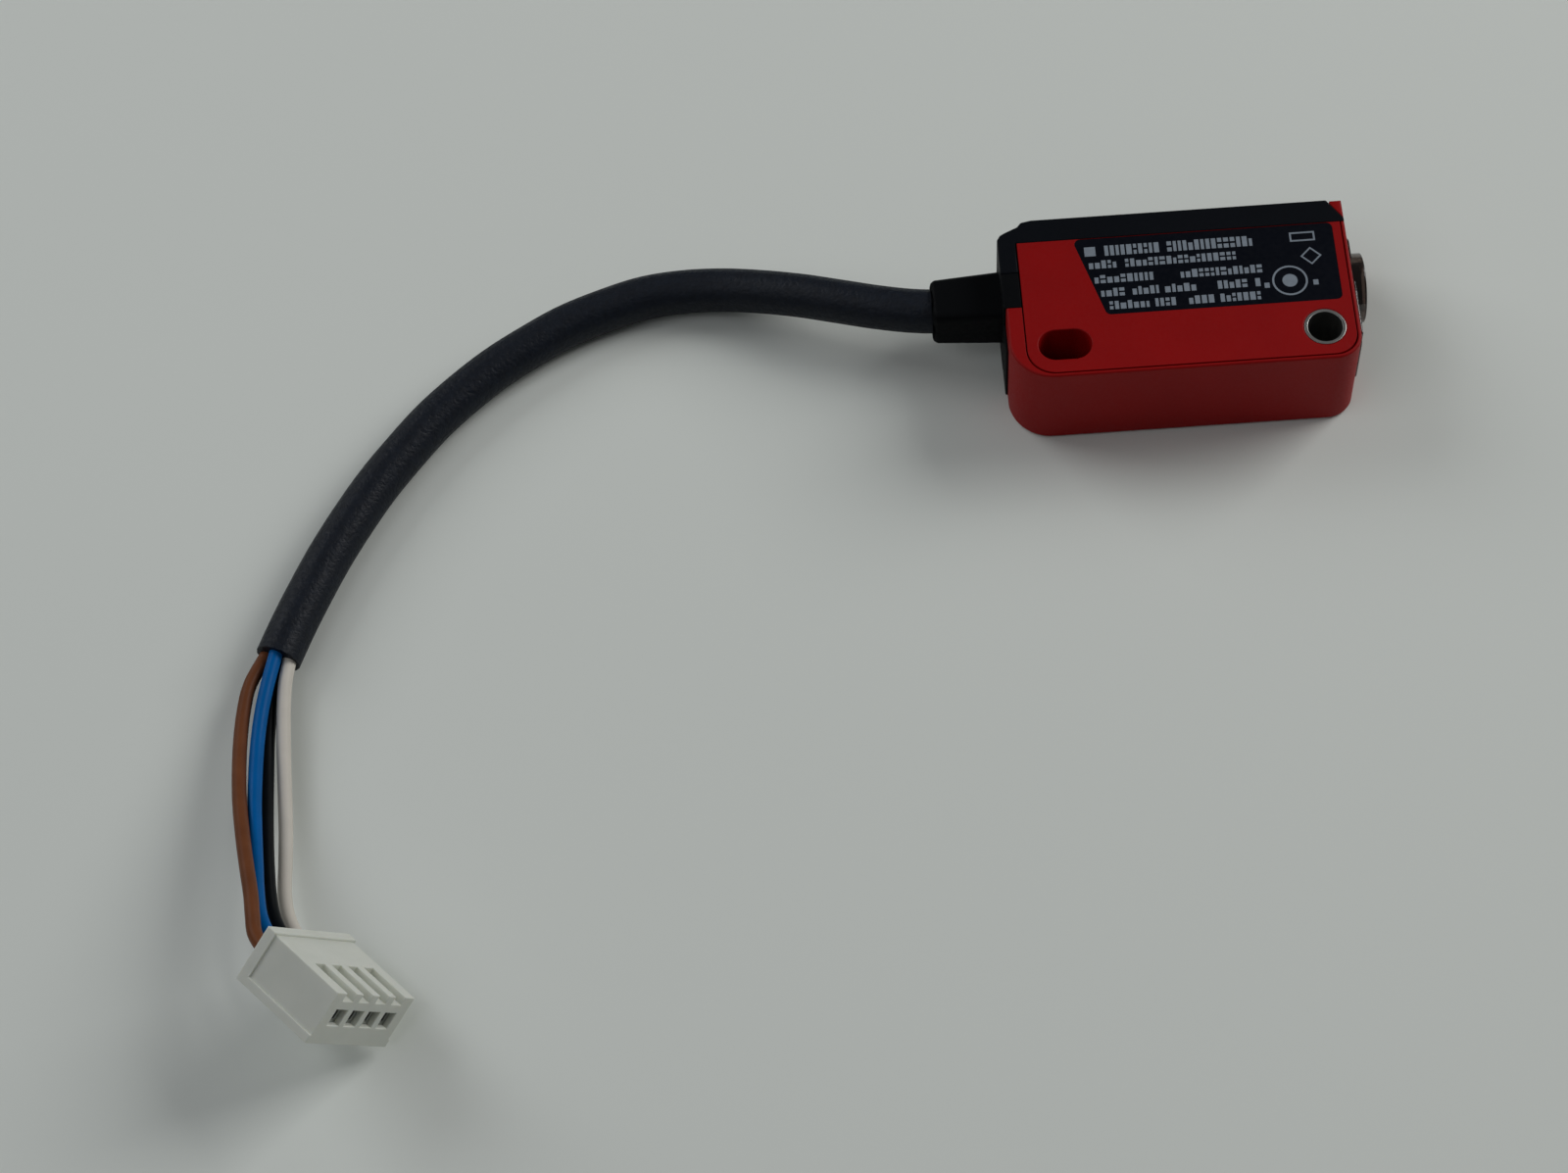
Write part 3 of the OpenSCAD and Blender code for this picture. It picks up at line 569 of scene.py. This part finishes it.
class SENSOR_OT_housing(bpy.types.Operator):
    """Makes the red housing, its side cover and the metal sleeve of the round hole"""
    bl_idname = "sensor.housing"
    bl_label = "Housing"

    def execute(self, context):
        sizes = context.scene.sensor_sizes
        colours = context.scene.sensor_colours
        red = moulded_abs("red moulded abs", colours.red, "#8b0405", rough=(0.46, 0.58), shine=0.14)
        low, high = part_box("housing_shell")
        skin = 0.05 * MM
        # the two rounded back corners: their radius, and which end of the housing they are at
        corners = ((4.2 * MM, low.x, 1), (2.7 * MM, high.x, -1))

        def outline(middle):
            """On the outside of the housing, not on the seat of the side cover."""
            for radius, end, inward in corners:
                across = (middle.x - end) * inward
                if across < radius and middle.y < low.y + radius:
                    return math.hypot(across - radius, middle.y - low.y - radius) > radius - skin
            return middle.x < low.x + skin or middle.x > high.x - skin or middle.y < low.y + skin

        def hole(middle):
            return abs(middle.y + 5.65 * MM) < 2.2 * MM and (abs(middle.x + 12.45 * MM) < 2.7 * MM
                                                             or abs(middle.x - 12.95 * MM) < 2.1 * MM)

        refined("housing_shell", red, sizes.cover_round,
                test=lambda middle: (middle.z > high.z - skin or middle.z < low.z + skin
                                     or middle.x > high.x - skin),
                others=[(sizes.base_round, lambda middle: middle.z < low.z + skin and outline(middle)),
                        (sizes.mould_round, lambda middle: middle.z > high.z - skin and outline(middle))])
        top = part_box("side_cover")[1].z - skin
        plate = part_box("nameplate")

        def beside_plate(middle):
            return (plate[0].x - skin < middle.x < plate[1].x + skin
                    and plate[0].y - skin < middle.y < plate[1].y + skin)

        refined("side_cover", red, sizes.cover_round,
                test=lambda middle: middle.z > top and not beside_plate(middle),
                others=[(0.16 * MM, lambda middle: middle.z > top and hole(middle)),
                        (0.03 * MM, lambda middle: middle.z > top)])
        steel = turned_metal("turned stainless sleeve", "#c2c2be", "#a3a3a0", 0.08 * MM, (0.26, 0.42), "Z")
        refined("mounting_sleeve", steel, 0.08 * MM, segments=2)
        return {"FINISHED"}


class SENSOR_OT_nameplate(bpy.types.Operator):
    """Makes the dark foil and its plain printed blocks"""
    bl_idname = "sensor.nameplate"
    bl_label = "Nameplate"

    # Each row: middle in Y, height of its marks, and the stretches in X that are filled, in millimetres.
    ROWS = ((5.0, 1.2, ((-7.6, -2.2), (-1.4, 7.3))),
            (3.4, 0.95, ((-9.3, -6.4), (-5.7, 5.6))),
            (1.65, 0.95, ((-8.9, -3.0), (-0.4, 7.8))),
            (0.05, 0.95, ((-8.4, -5.9), (-5.3, -2.7), (-2.1, 1.0), (3.1, 6.2), (6.8, 7.5))),
            (-1.5, 0.95, ((-7.7, -3.8), (-3.2, -1.2), (0.1, 2.7), (3.2, 7.5))))

    def execute(self, context):
        sizes = context.scene.sensor_sizes
        colours = context.scene.sensor_colours
        foil = refined("nameplate", printed_foil(colours.plate), 0.02 * MM, segments=1)
        select_faces(foil, lambda centre, normal: normal.z > 0.5)
        bpy.ops.transform.translate(value=(0, 0, -2 * sizes.print_h))
        bpy.ops.object.mode_set(mode="OBJECT")
        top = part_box("nameplate")[1].z - 2 * sizes.print_h

        # flat marks first, which are raised together at the end
        shapes = random.Random(7)
        marks = new_primitive("nameplate_print", bpy.ops.mesh.primitive_plane_add, size=1.1 * MM,
                              location=(-9.05 * MM, 5 * MM, top))
        bpy.ops.object.transform_apply(location=True, rotation=True, scale=True)
        bpy.ops.object.mode_set(mode="EDIT")
        for y, height, stretches in self.ROWS:
            for low, high in stretches:
                x = low
                while x < high - 0.2:
                    width = min(shapes.uniform(0.3, 0.55), high - x)
                    kind = shapes.choice(("tall", "tall", "low", "split"))
                    if kind == "tall":
                        self.block(x + width / 2, y, width, height, top)
                    elif kind == "low":
                        self.block(x + width / 2, y - 0.13 * height, width, 0.74 * height, top)
                    else:
                        for side in (-1, 1):
                            self.block(x + width / 2, y + side * 0.3 * height, width, 0.4 * height, top)
                    x += width + 0.17
        # plain marks at the right: an outline, a diamond, and a ring round a dot
        self.outline(12.0, 5.1, 2.5, 1.1, 0.18, top)
        self.ring(12.6, 2.75, 1.05, 0.16, 4, top)
        self.ring(10.2, 0, 1.75, 0.2, 40, top)
        bpy.ops.mesh.primitive_circle_add(vertices=24, radius=0.75 * MM, fill_type="NGON",
                                          location=(10.2 * MM, 0, top))
        for x in (7.9, 12.7):
            self.block(x, -0.4, 0.5, 0.6, top)
        bpy.ops.mesh.select_all(action="SELECT")
        bpy.ops.mesh.extrude_region_move(TRANSFORM_OT_translate={"value": (0, 0, 1.4 * sizes.print_h)})
        bpy.ops.mesh.select_all(action="SELECT")
        bpy.ops.mesh.normals_make_consistent(inside=False)
        bpy.ops.object.mode_set(mode="OBJECT")
        settle(marks, screen_ink(colours.print))
        return {"FINISHED"}

    @staticmethod
    def block(x, y, width, height, top):
        """One flat mark, given by its middle, in millimetres."""
        bpy.ops.mesh.primitive_plane_add(size=1, location=(x * MM, y * MM, top), scale=(1, 1, 1))
        bpy.ops.transform.resize(value=(width * MM, height * MM, 1), center_override=(x * MM, y * MM, top))

    def outline(self, x, y, width, height, line, top):
        """The outline of a rectangle."""
        for side in (-1, 1):
            self.block(x + side * (width - line) / 2, y, line, height, top)
            self.block(x, y + side * (height - line) / 2, width - 2 * line, line, top)

    @staticmethod
    def ring(x, y, radius, line, sides, top):
        """A flat ring of so many sides."""
        at = Vector((x * MM, y * MM, top))
        bpy.ops.mesh.primitive_circle_add(vertices=sides, radius=radius * MM, fill_type="NGON", location=at)
        bpy.ops.mesh.inset(thickness=line * MM)
        bpy.ops.mesh.delete(type="FACE")


class SENSOR_OT_front(bpy.types.Operator):
    """Makes the black front cover, its window and the two lenses behind it"""
    bl_idname = "sensor.front"
    bl_label = "Optics front"

    def execute(self, context):
        colours = context.scene.sensor_colours
        black = moulded_abs("black moulded abs", colours.black, "#04070d", rough=(0.5, 0.62), shine=0.09)
        refined("front_cover", black, 0.16 * MM)
        window = clear_plastic("dark red acrylic window", "#8a1f27", "#76161d", 1.49, (0.03, 0.08), 0.95)
        refined("optics_window", window, 0.1 * MM)
        lens = clear_plastic("clear acrylic lens", "#eef3f5", "#e6edf0", 1.49, (0.02, 0.05))
        for node in ("transmitter_lens", "receiver_lens"):
            refined(node, lens, 0.04 * MM, segments=2)
        return {"FINISHED"}


class SENSOR_OT_adjuster(bpy.types.Operator):
    """Makes the smoky end window and the adjuster that turns behind it"""
    bl_idname = "sensor.adjuster"
    bl_label = "Adjuster"

    def execute(self, context):
        smoke = clear_plastic("smoky polycarbonate", "#6a5a52", "#5a4c46", 1.585, (0.04, 0.1), 0.92)
        refined("display_window", smoke, 0.14 * MM)
        pom = moulded_abs("black acetal", "#1d1b1a", "#151413", rough=(0.3, 0.4))
        refined("range_spindle", pom, 0.08 * MM, body="adjuster", segments=2)
        return {"FINISHED"}


class SENSOR_OT_inside(bpy.types.Operator):
    """Gives the pieces inside the housing their finishes"""
    bl_idname = "sensor.inside"
    bl_label = "Inside"

    def execute(self, context):
        colours = context.scene.sensor_colours
        holder = moulded_abs("black glass-filled pbt", "#15181c", "#0f1114", size=0.2 * MM, rough=(0.5, 0.62))
        rubber = soft_tpe("black nitrile rubber", "#0b0c0d", "#08090a")
        case = epoxy_case("black epoxy case", "#141518", "#1d1f22")
        diode = epoxy_case("daylight filter epoxy", "#16202c", "#0d141d")
        board = solder_resist()
        guide = clear_plastic("clear polycarbonate guide", "#e9eff0", "#dfe7e9", 1.585, (0.05, 0.1))
        tin = plated_tin("tinned steel")
        finishes = {
            "optics_holder": holder, "receiver_carriage": holder, "light_barrier": rubber,
            # the second colour given to the emitter resin is its painted glow
            "front_gasket": rubber, "spindle_seal": rubber, "emitter_led": led_resin(
                "clear emitter resin", "#cfd6d8", "#e6b9b4"), "receiver_diode": diode,
            "board_components": case, "main_board": board, "led_board": board, "light_guides": guide,
            "shield_can": tin, "cord_anchor": tin,
            "guide_rod": turned_metal("ground steel rod", "#c2c4c6", "#aeb0b2", 0.05 * MM, (0.12, 0.22), "X"),
            "slip_clutch": turned_metal("turned brass ring", "#b98f4a", "#a67f3f", 0.07 * MM, (0.2, 0.34), "X"),
            # the second, lighter colour of each indicator resin is its painted glow
            "power_led": led_resin("green indicator resin", "#5fae5a", "#8fe08a"),
            "output_led": led_resin("yellow indicator resin", "#d7a526", "#f2cf5c"),
            "board_leads": extruded_pvc("thin lead pvc", colours.white, "#b5a9a4", 0.5 * MM, 0.006 * MM, (0.3, 0.4)),
        }
        for node, finish in finishes.items():
            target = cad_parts[node]
            target.data.materials.clear()
            target.data.materials.append(finish)
        return {"FINISHED"}


class SENSOR_PT_panel(bpy.types.Panel):
    """Lists the sensor's pieces in the 3D view's sidebar"""
    bl_idname = "SENSOR_PT_panel"
    bl_label = "Photoelectric Sensor"
    bl_space_type = "VIEW_3D"
    bl_region_type = "UI"
    bl_category = "Sensor"

    def draw(self, context):
        for group in (context.scene.sensor_sizes, context.scene.sensor_colours, context.scene.sensor_stage):
            for key in group.__annotations__:
                self.layout.prop(group, key)
        for operator in OPERATORS:
            self.layout.operator(operator.bl_idname)


# The plug and the strain relief come before the lead.
OPERATORS = (SENSOR_OT_stage, SENSOR_OT_relief, SENSOR_OT_plug, SENSOR_OT_lead, SENSOR_OT_housing,
             SENSOR_OT_nameplate, SENSOR_OT_front, SENSOR_OT_adjuster, SENSOR_OT_inside)
GROUPS = {"sensor_sizes": SensorSizes, "sensor_colours": SensorColours, "sensor_stage": StageSettings}


def register():
    for group in GROUPS.values():
        bpy.utils.register_class(group)
    for cls in (*OPERATORS, SENSOR_PT_panel):
        bpy.utils.register_class(cls)
    for name, group in GROUPS.items():
        setattr(bpy.types.Scene, name, PointerProperty(type=group))


def unregister():
    for name in GROUPS:
        delattr(bpy.types.Scene, name)
    for cls in (SENSOR_PT_panel, *reversed(OPERATORS)):
        bpy.utils.unregister_class(cls)
    for group in reversed(GROUPS.values()):
        bpy.utils.unregister_class(group)


def main():
    register()
    for operator in OPERATORS:
        group, name = operator.bl_idname.split(".")
        getattr(getattr(bpy.ops, group), name)()


if __name__ == "__main__":
    main()
